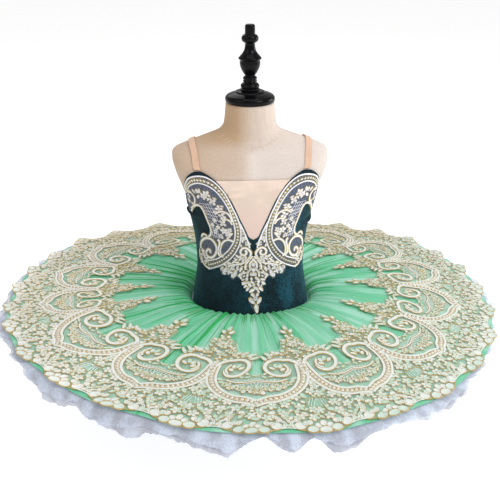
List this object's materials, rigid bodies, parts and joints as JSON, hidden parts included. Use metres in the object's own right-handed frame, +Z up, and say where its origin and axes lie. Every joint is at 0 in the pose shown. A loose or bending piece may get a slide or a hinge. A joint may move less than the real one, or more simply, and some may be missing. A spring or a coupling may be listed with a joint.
{
  "type": "ballet tutu dress on a limbless dress form",
  "caption": "Child's pancake tutu: dark green velvet bodice with lace cups and nude straps, gathered green plate with a wide lace border over white net, on a limbless dress form.",
  "frame": {"origin": "middle of the dress form's flat bottom, which it stands on", "axes": "+Z up, -Y towards the front of the dress, +X towards the wearer's left"},
  "size_m": [0.8986, 0.8949, 0.6713],
  "materials": {
    "velvet": "dark green pile velvet",
    "green_tulle": "gathered stiff tulle",
    "white_net": "stiff white net",
    "gold_lace": "ivory and gold corded lace with pearls",
    "nude_elastic": "matt nude stretch cloth and elastic",
    "form_cotton": "cream linen over a smooth form",
    "black_lacquer": "gloss black"
  },
  "bodies": {
    "root": {"bodice_front": "velvet", "bodice_back": "velvet", "hip_yoke": "velvet", "neck_insert": "nude_elastic", "strap_left": "nude_elastic", "strap_right": "nude_elastic", "cup_lace_left": "gold_lace", "cup_lace_right": "gold_lace", "lace_drop": "gold_lace", "skirt_plate": "green_tulle", "skirt_lace": "gold_lace", "net_layer_upper": "white_net", "net_layer_middle": "white_net", "net_layer_lower": "white_net", "form_torso": "form_cotton", "neck_cap": "black_lacquer", "finial": "black_lacquer"}
  },
  "joints": []
}
